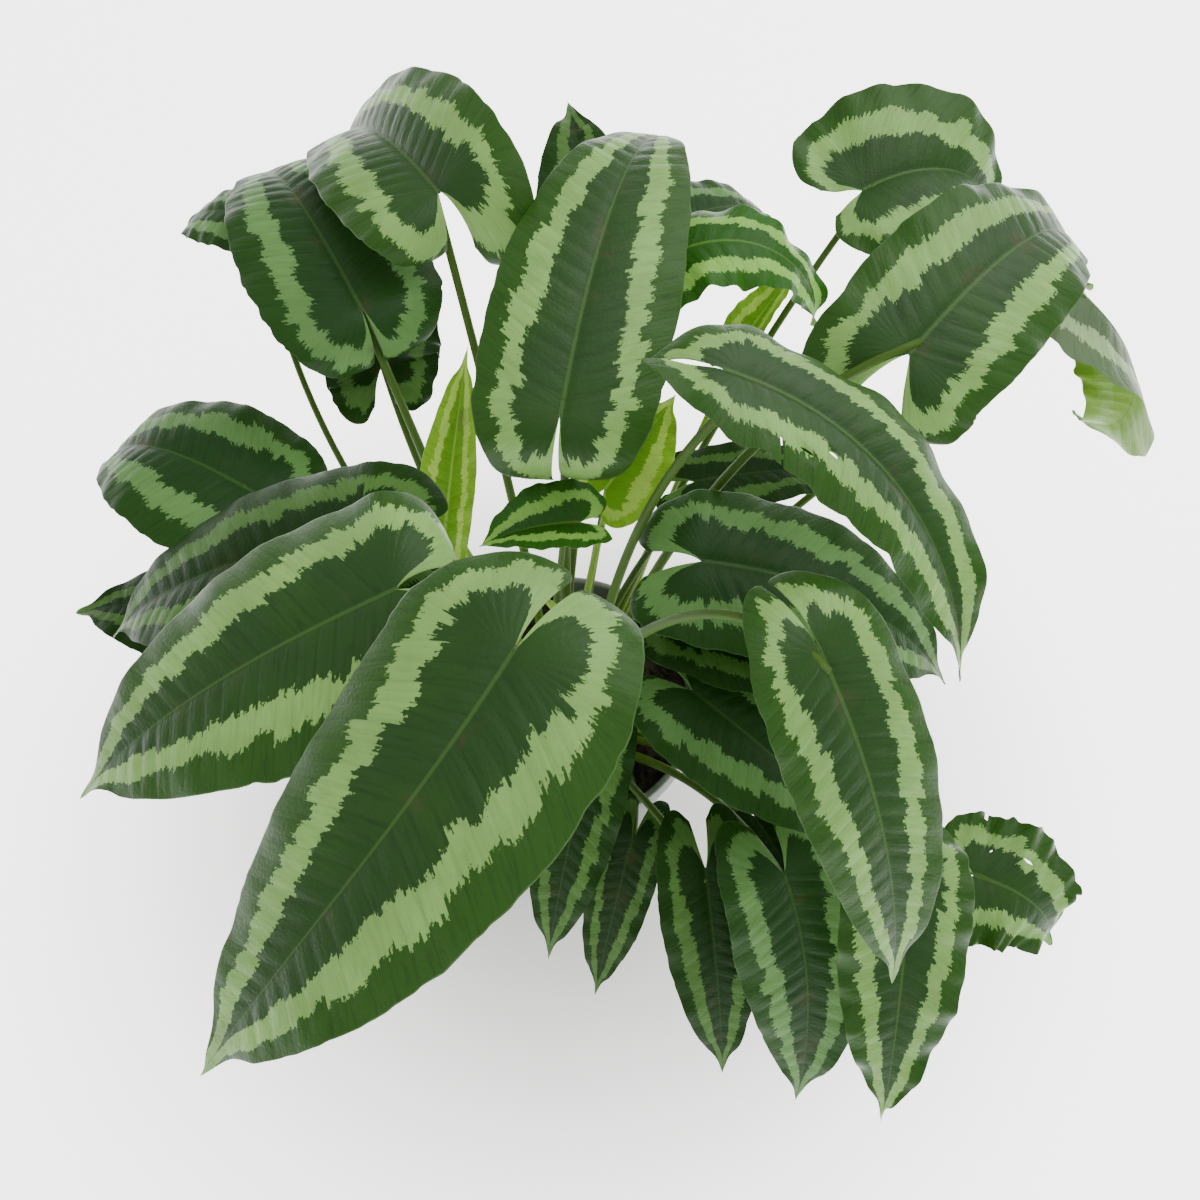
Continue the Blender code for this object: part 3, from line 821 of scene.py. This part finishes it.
@dataclass
class Blade:
    """A leaf's blade: a thin sheet, pleated along its side veins, with a keel under its midrib."""

    leaf: LeafSpec
    tint: Tint
    seed: int
    thickness: float = 0.45 * MM
    vein_spacing: float = 9.5 * MM
    columns_per_vein: int = 6
    pleat_height: float = 0.5 * MM
    keel_depth: float = 1.7 * MM
    keel_radius: float = 1.5 * MM
    groove_depth: float = 0.7 * MM
    groove_radius: float = 2.6 * MM
    ridge_height: float = 0.4 * MM
    ridge_radius: float = 0.8 * MM
    drift: float = 0.5 * MM

    def __post_init__(self) -> None:
        """Lays the midrib and measures the margin."""
        self.midrib = Midrib(self.leaf)
        self.size = self.leaf.length * MM
        position = np.linspace(0, len(MARGIN) - 1, 1001)
        edge = catmull_rom(MARGIN, position) * (self.size, 0.5 * self.leaf.width * MM)
        run = np.concatenate(((0,), np.cumsum(np.linalg.norm(np.diff(edge, axis=0), axis=1))))
        spacing = self.vein_spacing * (0.45 + 0.55 * self.leaf.length / 215)
        self.veins = max(10, round(run[-1] / spacing))
        count = self.veins * self.columns_per_vein
        self.vein = np.arange(count + 1) / self.columns_per_vein
        self.position = np.interp(self.vein / self.veins, run / run[-1], position)

    def tears(self, side: Half) -> list[tuple[Tear, int]]:
        """The half blade's tears, each with the grid column where it starts."""
        found = [tear for tear in TEARS.get(self.leaf.name, ()) if tear.side == side]
        return [(tear, round(tear.place * (len(self.vein) - 1))) for tear in found]

    def grid_rows(self, side: Half) -> Array:
        """How far each grid point lies from the midrib to the margin, as a share.

        The rows on either side of a slit close in on it, so that it is a narrow lens.

        Args:
            side: which half.

        Returns:
            A grid with a row for each place along the margin.
        """
        rows = np.tile(SHEET_ROWS, (len(self.vein), 1))
        shut, open_share = 0.06, 0.40
        for tear, first in self.tears(side):
            if tear.outer >= 1.0:
                continue
            low = int(np.searchsorted(SHEET_ROWS, tear.inner + 0.001)) - 1
            high = int(np.searchsorted(SHEET_ROWS, tear.outer - 0.001))
            for column in range(first, first + tear.columns + 1):
                bulge = sin(pi * (column - first) / tear.columns)
                half = 0.5 * (SHEET_ROWS[high] - SHEET_ROWS[low]) * (shut + open_share * bulge)
                centre = 0.5 * (SHEET_ROWS[high] + SHEET_ROWS[low])
                rows[column, low], rows[column, high] = centre - half, centre + half
        return rows

    def flat_places(self, side: Half) -> tuple[Array, Array]:
        """Where each grid point lies on the blade laid flat.

        Args:
            side: which half.

        Returns:
            Two grids: along the midrib and out from it, both in blade lengths.
        """
        margin = catmull_rom(MARGIN, self.position)
        last = len(MARGIN) - 1
        tip = np.clip((self.position - TIP_KNOT) / (last - TIP_KNOT), 0, 1)
        ragged = RAGGED.get(self.leaf.name, 1.3)
        rough = 1 + 0.012 * ragged * smooth_noise(self.vein * 0.9, 11 + self.seed * 2 + side)
        rough += 0.007 * ragged * smooth_noise(self.vein * 2.3, 411 + self.seed * 2 + side)
        end_s = margin[:, 0] + 0.035 * tip**3
        closed = self.leaf.close * np.maximum(-margin[:, 0], 0) / LOBE_REACH
        end_t = np.maximum(margin[:, 1] - closed, np.where(margin[:, 0] < 0, NOTCH_HALF, 0))
        end_t = end_t * 0.5 * self.leaf.width / self.leaf.length
        end_t = end_t * rough * (1 - 0.30 * np.sin(pi * tip))
        end_t[-1] = 0.0
        start_s = np.maximum(0.0, end_s - RIB_SLANT * end_t)
        bend_s = start_s + 0.3 * (end_s - start_s)
        e = self.grid_rows(side)
        f = 1 - e
        s = f**2 * start_s[:, None] + 2 * e * f * bend_s[:, None] + e**2 * end_s[:, None]
        t = 2 * e * f * 0.5 * end_t[:, None] + e**2 * end_t[:, None]
        return s, t

    def whole(self, side: Half) -> Array:
        """Which grid cells of the half blade are there, and not torn away.

        Args:
            side: which half.

        Returns:
            A grid of True and False, one for each cell.
        """
        cells = np.ones((len(self.vein) - 1, len(SHEET_ROWS) - 1), bool)
        centre = 0.5 * (SHEET_ROWS[1:] + SHEET_ROWS[:-1])
        for tear, first in self.tears(side):
            torn = (centre > tear.inner) & (centre < tear.outer)
            cells[first : first + tear.columns, torn] = False
        return cells

    def surface(self, side: Half) -> dict[str, Array]:
        """The half blade's middle surface, its normals and what lies on it.

        Args:
            side: which half.

        Returns:
            Grids by name: the place along and out from the midrib, the middle surface and its normal,
            how far the skins rise and drop from it, and the share, vein and spread of each point.
        """
        leaf = self.leaf
        s, t = self.flat_places(side)
        e = self.grid_rows(side)
        vein = np.broadcast_to(self.vein[:, None], s.shape)
        _, left, up = self.midrib.frame(s)
        out = t * self.size
        fold = radians(leaf.fold)
        turn = radians(leaf.curl) / (0.5 * leaf.width * MM)
        slope = fold + turn * out
        flat = (np.sin(slope) - sin(fold)) / turn
        high = (cos(fold) - np.cos(slope)) / turn
        ruffle = leaf.wave * MM * e**2
        high = high + ruffle * np.sin(2.5 * 2 * pi * s + 1.3 * side + leaf.length)
        high = high + 0.5 * ruffle * np.sin(6.7 * 2 * pi * s + 2.1 * side + self.seed)
        middle = self.midrib.place(s) + left * side * flat[..., None] + up * high[..., None]
        normal = up * np.cos(slope)[..., None] - left * side * np.sin(slope)[..., None]

        scale = min(1.0, leaf.length / 170)
        puff = np.abs(np.sin(pi * vein)) ** 0.8 - 0.55
        strength = 1 + 0.55 * smooth_noise(vein * 0.8 + 3 * side, 77 + self.seed)
        pleat = self.pleat_height * scale * strength * puff * np.sin(pi * e**0.75) ** 0.7
        flat_place = np.stack((s, t), -1) * self.size
        gap = np.linalg.norm(np.gradient(flat_place, axis=0), axis=-1) * self.columns_per_vein
        spread = np.clip(gap / gap[:, -1].mean(), 0, 1)
        pleat = pleat * np.clip((1.02 - s) / 0.2, 0, 1) * spread**1.3
        taper = np.clip(1.02 - s, 0.0, 1.0) ** 0.8 * np.clip((s + 0.06) / 0.06, 0, 1) * scale
        groove = self.groove_depth * taper * np.exp(-((out / self.groove_radius) ** 2))
        ridge = self.ridge_height * taper * np.exp(-((out / self.ridge_radius) ** 2))
        drift = self.drift * e * smooth_noise(vein * 0.21 + e * 1.4 + 9 * side, 31 + self.seed)
        keel = self.keel_depth * taper * np.exp(-((out / self.keel_radius) ** 2))
        thin = 0.5 * self.thickness * (1 - 0.6 * e**8)
        rise = pleat - groove + ridge + drift + thin
        drop = pleat - groove * 0.5 + drift - keel - thin
        return {
            "s": s, "t": t, "middle": middle, "normal": normal, "rise": rise, "drop": drop, "e": e,
            "vein": vein, "spread": spread,
        }

    def build(self) -> Piece:
        """Makes the blade as one closed solid.

        Returns:
            The blade's object.
        """
        tops, skins, seam, count = [], {"rise": [], "drop": []}, None, 0
        vectors = {"blade": [], "sheet": [], "relief": []}
        for side in Half:
            grid = self.surface(side)
            s, t, e, spread = (grid[key] for key in ("s", "t", "e", "spread"))
            index = np.arange(count, count + s.size).reshape(s.shape)
            count += s.size
            if seam is None:
                index[s[:, 0] <= 1e-9, 0] = index[0, 0]
                seam = index[:, 0].copy()
            index[:, 0] = seam
            index[-1, :] = seam[-1]
            for key, points in skins.items():
                points.append((grid["middle"] + grid["normal"] * grid[key][..., None]).reshape(-1, 3))
            place = np.broadcast_to((self.position / (len(MARGIN) - 1))[:, None], s.shape)
            for key, row in (
                ("blade", (grid["vein"], side * e, place)),
                ("sheet", (s * self.size, side * t * self.size, 0 * s)),
                ("relief", (spread, 0 * s, 0 * s)),
            ):
                vectors[key].append(np.stack(row, -1).reshape(-1, 3))
            quads = np.stack((index[:-1, :-1], index[1:, :-1], index[1:, 1:], index[:-1, 1:]), -1)
            quads = quads[self.whole(side)]
            tops.append(quads if side < 0 else quads[:, ::-1])
        faces = closed_skin(np.concatenate(tops), count)
        used = np.zeros(2 * count, bool)
        used[[corner for face in faces for corner in face]] = True
        number = (np.cumsum(used) - 1).tolist()
        faces = [[number[corner] for corner in face] for face in faces]
        rows = {key: np.concatenate(2 * parts) for key, parts in vectors.items()}
        rows["sheet"][count:, 2] = 1.0
        rows = {key: row[used] for key, row in rows.items()}
        piece = new_piece(
            f"{self.leaf.name}_blade",
            np.concatenate(skins["rise"] + skins["drop"])[used],
            faces,
            BladeFinish(self.tint, self.seed, self.size).material(),
            rows,
        )
        self.lay_out(piece.data, rows["sheet"])
        return piece

    def lay_out(self, mesh: bpy.types.Mesh, sheet: Array) -> None:
        """Gives the mesh a layout to bake its material to, its two skins side by side.

        Args:
            mesh: the blade's mesh.
            sheet: for each point, its place along and out on the flat blade, and 1 if it is below.
        """
        span, back = 1.4 * self.size, 0.28 * self.size
        across = 0.25 + 0.5 * sheet[:, 2] + 0.5 * sheet[:, 1] / span
        places = np.stack((across, (sheet[:, 0] + back) / span), -1)
        corners = np.zeros(len(mesh.loops), int)
        mesh.loops.foreach_get("vertex_index", corners)
        mesh.uv_layers.new(name="OFBake").data.foreach_set("uv", places[corners].ravel())


@dataclass
class Stalk:
    """A leaf's stalk: slim and round above, stouter and grooved where it is sheathed.

    sheath is the sheath's share of its length, and groove the groove's depth as a share of its
    radius; sink is how far it runs into the soil, and tuck how far its end lies under the blade.
    """

    leaf: LeafSpec
    tint: Tint
    sides: int = 12
    steps: int = 30
    top_radius: float = 2.0 * MM
    sheath: float = 0.35
    groove: float = 0.30
    sink: float = 1.5 * MM
    tuck: float = 0.9 * MM
    stoutness: float = 1.25

    def route(self) -> tuple[Array, Array]:
        """Centre points and radii, from the soil up to the blade.

        Returns:
            One point and one radius for each ring.
        """
        leaf = self.leaf
        compass, distance = radians(leaf.root[0]), leaf.root[1] * MM
        foot = np.array(
            (distance * cos(compass), distance * sin(compass), SOIL_TOP + ROOT_GAP)
        )
        midrib = Midrib(leaf)
        top = midrib.place(np.array((JOIN_AHEAD / (leaf.length * MM),)))[0]
        up = midrib.frame(np.zeros(1))[2][0]
        reach = np.linalg.norm(top - foot)
        chord = (top - foot) / reach
        rise = np.array((0.0, 0.0, 1.0))
        aside = leaf.bow * MM * unit(np.cross(rise, chord))

        def lean(amount: float) -> Array:
            """The chord's direction, turned up by an amount."""
            return unit(chord + amount * rise)

        lower = foot + 0.4 * reach * lean(leaf.arch) + aside
        upper = top - 0.3 * reach * lean(-0.5 * leaf.arch) + aside
        f = np.linspace(0, 1, self.steps + 1)[:, None]
        path = (1 - f) ** 3 * foot + 3 * f * (1 - f) ** 2 * lower + 3 * f**2 * (1 - f) * upper
        path = path + f**3 * top - up * self.tuck * f**6
        path[0, 2] -= self.sink
        thick = max(0.5 * STALK_FOOT_WIDTH * leaf.length, 1.8) * MM * self.stoutness
        slim = self.top_radius * min(1.0, 0.62 + 0.38 * leaf.length / 150)
        radius = thick + (slim - thick) * np.minimum(1, 1.3 * f[:, 0]) ** 0.7
        return path, radius

    def build(self) -> Piece:
        """Makes the stalk as one closed tube.

        Returns:
            The stalk's object.
        """
        path, radius = self.route()
        run = np.linspace(0, 1, len(path))[:, None]
        inward = radians(self.leaf.root[0] + 180)
        away = np.angle(np.exp(1j * (spokes(self.sides) - inward)))
        groove = self.groove * np.clip(1 - run / self.sheath, 0, 1) * np.exp(-((away / 0.45) ** 2))
        wide = radius[:, None] * (1 - groove)
        return tube(f"{self.leaf.name}_stalk", path, wide, StalkFinish(self.tint).material())


@dataclass
class Leaf:
    """One leaf of the clump: its blade and its stalk."""

    leaf: LeafSpec
    seed: int

    def build(self) -> list[Piece]:
        """Makes the leaf's pieces, which stand for its solid.

        Returns:
            The pieces.
        """
        tint = next((tint for tint, names in TINTS.items() if self.leaf.name in names), Tint.MATURE)
        pieces = [Blade(self.leaf, tint, self.seed).build(), Stalk(self.leaf, tint).build()]
        for piece in pieces:
            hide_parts(self.leaf.name)
        return pieces


# Pot, soil, floor and light


def lathe_faces(rings: int, segments: int) -> Faces:
    """The faces of a round solid whose rings run up its outside.

    Args:
        rings: how many rings of points lie between its first point and its last.
        segments: how many points each ring has.

    Returns:
        Its faces, as point numbers.
    """
    last = 1 + rings * segments
    faces = []
    for k in range(segments):
        after = (k + 1) % segments
        faces.append([0, 1 + after, 1 + k])
        for a in range(1, last - segments, segments):
            faces.append([a + k, a + after, a + segments + after, a + segments + k])
        faces.append([last - segments + k, last - segments + after, last])
    return faces


@dataclass
class Pot:
    """The pot: a thin tapered wall with a rounded collar and drainage holes."""

    height: float = 125 * MM
    top_radius: float = 75 * MM
    foot_radius: float = 53 * MM
    wall: float = 1.8 * MM
    floor: float = 3.0 * MM
    collar: float = 14 * MM
    collar_step: float = 2.0 * MM
    lip_height: float = 1.4 * MM
    segments: int = 128
    hole_count: int = 6
    hole_radius: float = 5 * MM
    hole_circle: float = 34 * MM

    def outer(self, height: float) -> float:
        """Radius of the plain wall, outside, at a height."""
        taper = (self.top_radius - self.collar_step - self.foot_radius) / self.height
        return self.foot_radius + taper * height

    def profile(self) -> list[tuple[float, float]]:
        """The pot's section.

        Returns:
            Points of (radius, height), from the middle of its foot up its outside and down its inside.
        """
        low = self.height - self.collar
        points = [(0.0, 0.0), (self.foot_radius - 2.2 * MM, 0.0)]
        for k in range(5):
            a = radians(-90 + 22.5 * k)
            foot = self.foot_radius + 0.1 * MM
            points.append((foot - 2 * MM + 2 * MM * cos(a), 2 * MM + 2 * MM * sin(a)))
        points += [(self.outer(z * MM), z * MM) for z in (8, 20, 40, 60, 80, 100)]
        points += [
            (self.outer(low) - 0.05 * MM, low - 0.3 * MM),
            (self.outer(low) + 0.1 * MM, low),
            (self.top_radius - 0.9 * MM, low + 0.25 * MM),
            (self.top_radius - 0.45 * MM, low + 0.8 * MM),
        ]
        inner = self.outer(self.height) - self.wall
        middle, lip = 0.5 * (self.top_radius + inner), 0.5 * (self.top_radius - inner)
        for k in range(9):
            a = radians(180 * k / 8)
            height = self.height - self.lip_height * (1 - sin(a))
            points.append((middle + lip * cos(a), height))
        points += [(self.outer(z * MM) - self.wall, z * MM) for z in (100, 60, 20, 5)]
        points += [(self.outer(self.floor) - self.wall - 1 * MM, self.floor), (0.0, self.floor)]
        return points

    def build(self) -> Piece:
        """Makes the pot and drills its holes.

        Returns:
            The pot's object.
        """
        (_, bottom), *rings, (_, top) = self.profile()
        verts = [(0.0, 0.0, bottom)]
        for radius, height in rings:
            for a in spokes(self.segments):
                verts.append((radius * cos(a), radius * sin(a), height))
        verts.append((0.0, 0.0, top))
        faces = lathe_faces(len(rings), self.segments)
        pot = new_piece("pot_body", np.array(verts), faces, PotFinish().material())
        drills = []
        for k in range(self.hole_count):
            bm = bmesh.new()
            radius = self.hole_radius
            bmesh.ops.create_cone(
                bm, cap_ends=True, segments=32, radius1=radius, radius2=radius, depth=20 * MM
            )
            mesh = bpy.data.meshes.new("drill")
            bm.to_mesh(mesh)
            bm.free()
            drill = add_object("drill", mesh)
            angle = 2 * pi * (k + 0.5) / self.hole_count
            drill.location = (self.hole_circle * cos(angle), self.hole_circle * sin(angle), 0)
            cut = pot.modifiers.new("hole", "BOOLEAN")
            cut.operation, cut.solver, cut.object = "DIFFERENCE", "EXACT", drill
            drills.append(drill)
        bpy.context.view_layer.update()
        seen = pot.evaluated_get(bpy.context.evaluated_depsgraph_get())
        drilled = bpy.data.meshes.new_from_object(seen)
        pot.modifiers.clear()
        pot.data = drilled
        for drill in drills:
            bpy.data.objects.remove(drill)
        drilled.shade_smooth()
        drilled.set_sharp_from_angle(angle=radians(40))
        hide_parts("pot")
        return pot


@dataclass
class Soil:
    """The soil: a mounded, crumbly top over a plain plug."""

    radius: float = 68.9 * MM
    foot_radius: float = 50.6 * MM
    bottom: float = 3.5 * MM
    rings: int = 60
    segments: int = 200
    clods: int = 420
    seed: int = 5

    def relief(self, x: Array, y: Array) -> Array:
        """The uneven top of the soil.

        Args:
            x, y: where to measure it.

        Returns:
            Its height above its mean there.
        """
        rng = np.random.default_rng(self.seed)
        total = np.zeros_like(x)
        for wave, height in ((40, 1.3), (19, 0.9), (9, 0.6), (5, 0.4), (3, 0.3)):
            for _ in range(5):
                angle, phase = rng.uniform(0, 2 * pi, 2)
                way = (x * cos(angle) + y * sin(angle)) / (wave * MM) * 2 * pi
                total += height * MM * np.sin(way + phase) / 2.2
        return total

    def build(self) -> list[Piece]:
        """Makes the soil and the crumbs that lie on it.

        Returns:
            The pieces.
        """
        finish = SoilFinish().material()
        pieces = [
            new_piece("soil_bed", *self.bed(), finish),
            new_piece("soil_crumbs", *self.crumbs(), finish),
        ]
        for piece in pieces:
            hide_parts("soil")
        return pieces

    def bed(self) -> tuple[Array, Faces]:
        """The soil itself.

        Returns:
            Its points and faces.
        """
        angle = spokes(self.segments)
        verts = [np.array(((0.0, 0.0, SOIL_TOP + self.relief(np.zeros(1), np.zeros(1))[0]),))]
        for i in range(1, self.rings + 1):
            r = self.radius * i / self.rings
            x, y = r * np.cos(angle), r * np.sin(angle)
            z = SOIL_TOP + self.relief(x, y) * np.clip((self.radius - r) / (6 * MM), 0.3, 1)
            verts.append(np.stack((x, y, z), -1))
        x, y = self.foot_radius * np.cos(angle), self.foot_radius * np.sin(angle)
        verts.append(np.stack((x, y, np.full_like(x, self.bottom)), -1))
        verts.append(np.array(((0.0, 0.0, self.bottom),)))
        faces = lathe_faces(self.rings + 1, self.segments)
        faces = [[first, *others[::-1]] for first, *others in faces]
        return np.concatenate(verts), faces

    def crumbs(self) -> tuple[Array, Faces]:
        """The crumbs that lie on the soil.

        Returns:
            Their points and faces.
        """
        rng = np.random.default_rng(self.seed + 1)
        bm = bmesh.new()
        bmesh.ops.create_icosphere(bm, subdivisions=2, radius=1.0)
        ball = np.array([v.co[:] for v in bm.verts])
        shape = [[v.index for v in f.verts] for f in bm.faces]
        bm.free()
        points, faces = [], []
        for k in range(self.clods):
            r = self.radius * 0.97 * sqrt(rng.uniform(0, 1))
            a = rng.uniform(0, 2 * pi)
            size = rng.uniform(0.7, 2.1) * MM
            size = size * np.array((rng.uniform(0.8, 1.5), rng.uniform(0.8, 1.4), 0.75))
            lumps = 1 + 0.22 * np.sin(ball @ rng.uniform(-4, 4, 3) + rng.uniform(0, 6))[:, None]
            lumps = lumps + 0.12 * np.sin(ball @ rng.uniform(-9, 9, 3))[:, None]
            spin = rng.uniform(0, 2 * pi)
            turn = np.array(
                ((cos(spin), -sin(spin), 0), (sin(spin), cos(spin), 0), (0, 0, 1))
            )
            x, y = r * cos(a), r * sin(a)
            z = SOIL_TOP + self.relief(np.array((x,)), np.array((y,)))[0] + 0.3 * size[2]
            points.append((ball * lumps * size) @ turn.T + (x, y, z))
            faces += [[corner + k * len(ball) for corner in face] for face in shape]
        return np.concatenate(points), faces


@dataclass
class Shoot:
    """The new shoot: a furled leaf, a slim spear with its seam wound round it."""

    foot: tuple[float, float] = (2.0, -6.0)
    bend: tuple[float, float, float] = (22.0, -8.0, 215.0)
    tip: tuple[float, float, float] = (-10.0, -6.0, 246.0)
    sides: int = 16
    steps: int = 48

    def build(self) -> Piece:
        """Makes the shoot.

        Returns:
            The shoot's object.
        """
        foot = np.array((self.foot[0] * MM, self.foot[1] * MM, SOIL_TOP - 1 * MM))
        bend, tip = np.array(self.bend) * MM, np.array(self.tip) * MM
        f = np.linspace(0, 1, self.steps + 1)[:, None]
        path = (1 - f) ** 2 * foot + 2 * f * (1 - f) * bend + f**2 * tip
        swell = np.sin(pi * np.clip((f[:, 0] - 0.4) / 0.6, 0, 1))
        radius = (2.0 - 1.7 * f[:, 0] ** 3 + 1.2 * swell) * MM
        seam = np.angle(np.exp(1j * (spokes(self.sides)[None, :] - 5.0 * f)))
        wide = radius[:, None] * (1 - 0.22 * np.exp(-((seam / 0.35) ** 2)))
        piece = tube("new_shoot_spear", path, wide, StalkFinish(Tint.YOUNG).material())
        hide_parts("new_shoot")
        return piece


@dataclass
class Studio:
    """The pale floor, the soft light and the camera."""

    camera_place: tuple[float, float, float] = (0.0216, -0.3728, 0.8732)
    camera_tilt: float = 30.0
    lens: float = 46.8
    floor_size: float = 6.0
    sky: float = 1.0

    def build(self) -> None:
        """Sets up the floor, the lights and the camera."""
        half = 0.5 * self.floor_size
        mesh = bpy.data.meshes.new("floor")
        mesh.from_pydata(
            [(-half, -half, 0), (half, -half, 0), (half, half, 0), (-half, half, 0)], [], [(0, 1, 2, 3)]
        )
        mesh.materials.append(FloorFinish().material())
        floor = add_object("floor", mesh)
        floor.location.z = -0.2 * MM

        world = bpy.data.worlds.new("soft_sky")
        world.use_nodes = True
        background = world.node_tree.nodes["Background"]
        background.inputs["Color"].default_value = (1.0, 1.0, 0.97, 1.0)
        background.inputs["Strength"].default_value = self.sky
        bpy.context.scene.world = world
        clump = (0.0, 0.0, 0.2)
        self.lamp("window", (0.9, 0.8, 1.6), clump, 1.6, 30.0)
        self.lamp("ceiling", (0.3, -0.3, 2.2), clump, 1.8, 14.0)

        data = bpy.data.cameras.new("camera")
        data.lens = self.lens
        camera = add_object("camera", data)
        camera.location = self.camera_place
        camera.rotation_euler = (radians(self.camera_tilt), 0.0, 0.0)
        bpy.context.scene.camera = camera

    def lamp(self, name: str, place: tuple, aim: tuple, size: float, power: float) -> None:
        """Adds a square soft light.

        Args:
            name: its name.
            place: where it is.
            aim: the point that it shines at.
            size: the length of its side.
            power: its power in watts.
        """
        data = bpy.data.lights.new(name, "AREA")
        data.size = size
        data.energy = power
        light = add_object(name, data)
        light.location = place
        way = Vector(aim) - Vector(place)
        light.rotation_euler = way.to_track_quat("-Z", "Y").to_euler()


def main() -> None:
    """Builds the floor and light, the pot, the soil and every leaf."""
    logging.basicConfig(level=logging.INFO, format="%(message)s")
    Studio().build()
    log.info("built %s", Pot().build().name)
    for piece in Soil().build():
        log.info("built %s", piece.name)
    for seed, leaf in enumerate(LEAVES, start=1):
        pieces = Leaf(leaf, seed).build()
        log.info("built %s", ", ".join(piece.name for piece in pieces))
    log.info("built %s", Shoot().build().name)


if __name__ == "__main__":
    main()
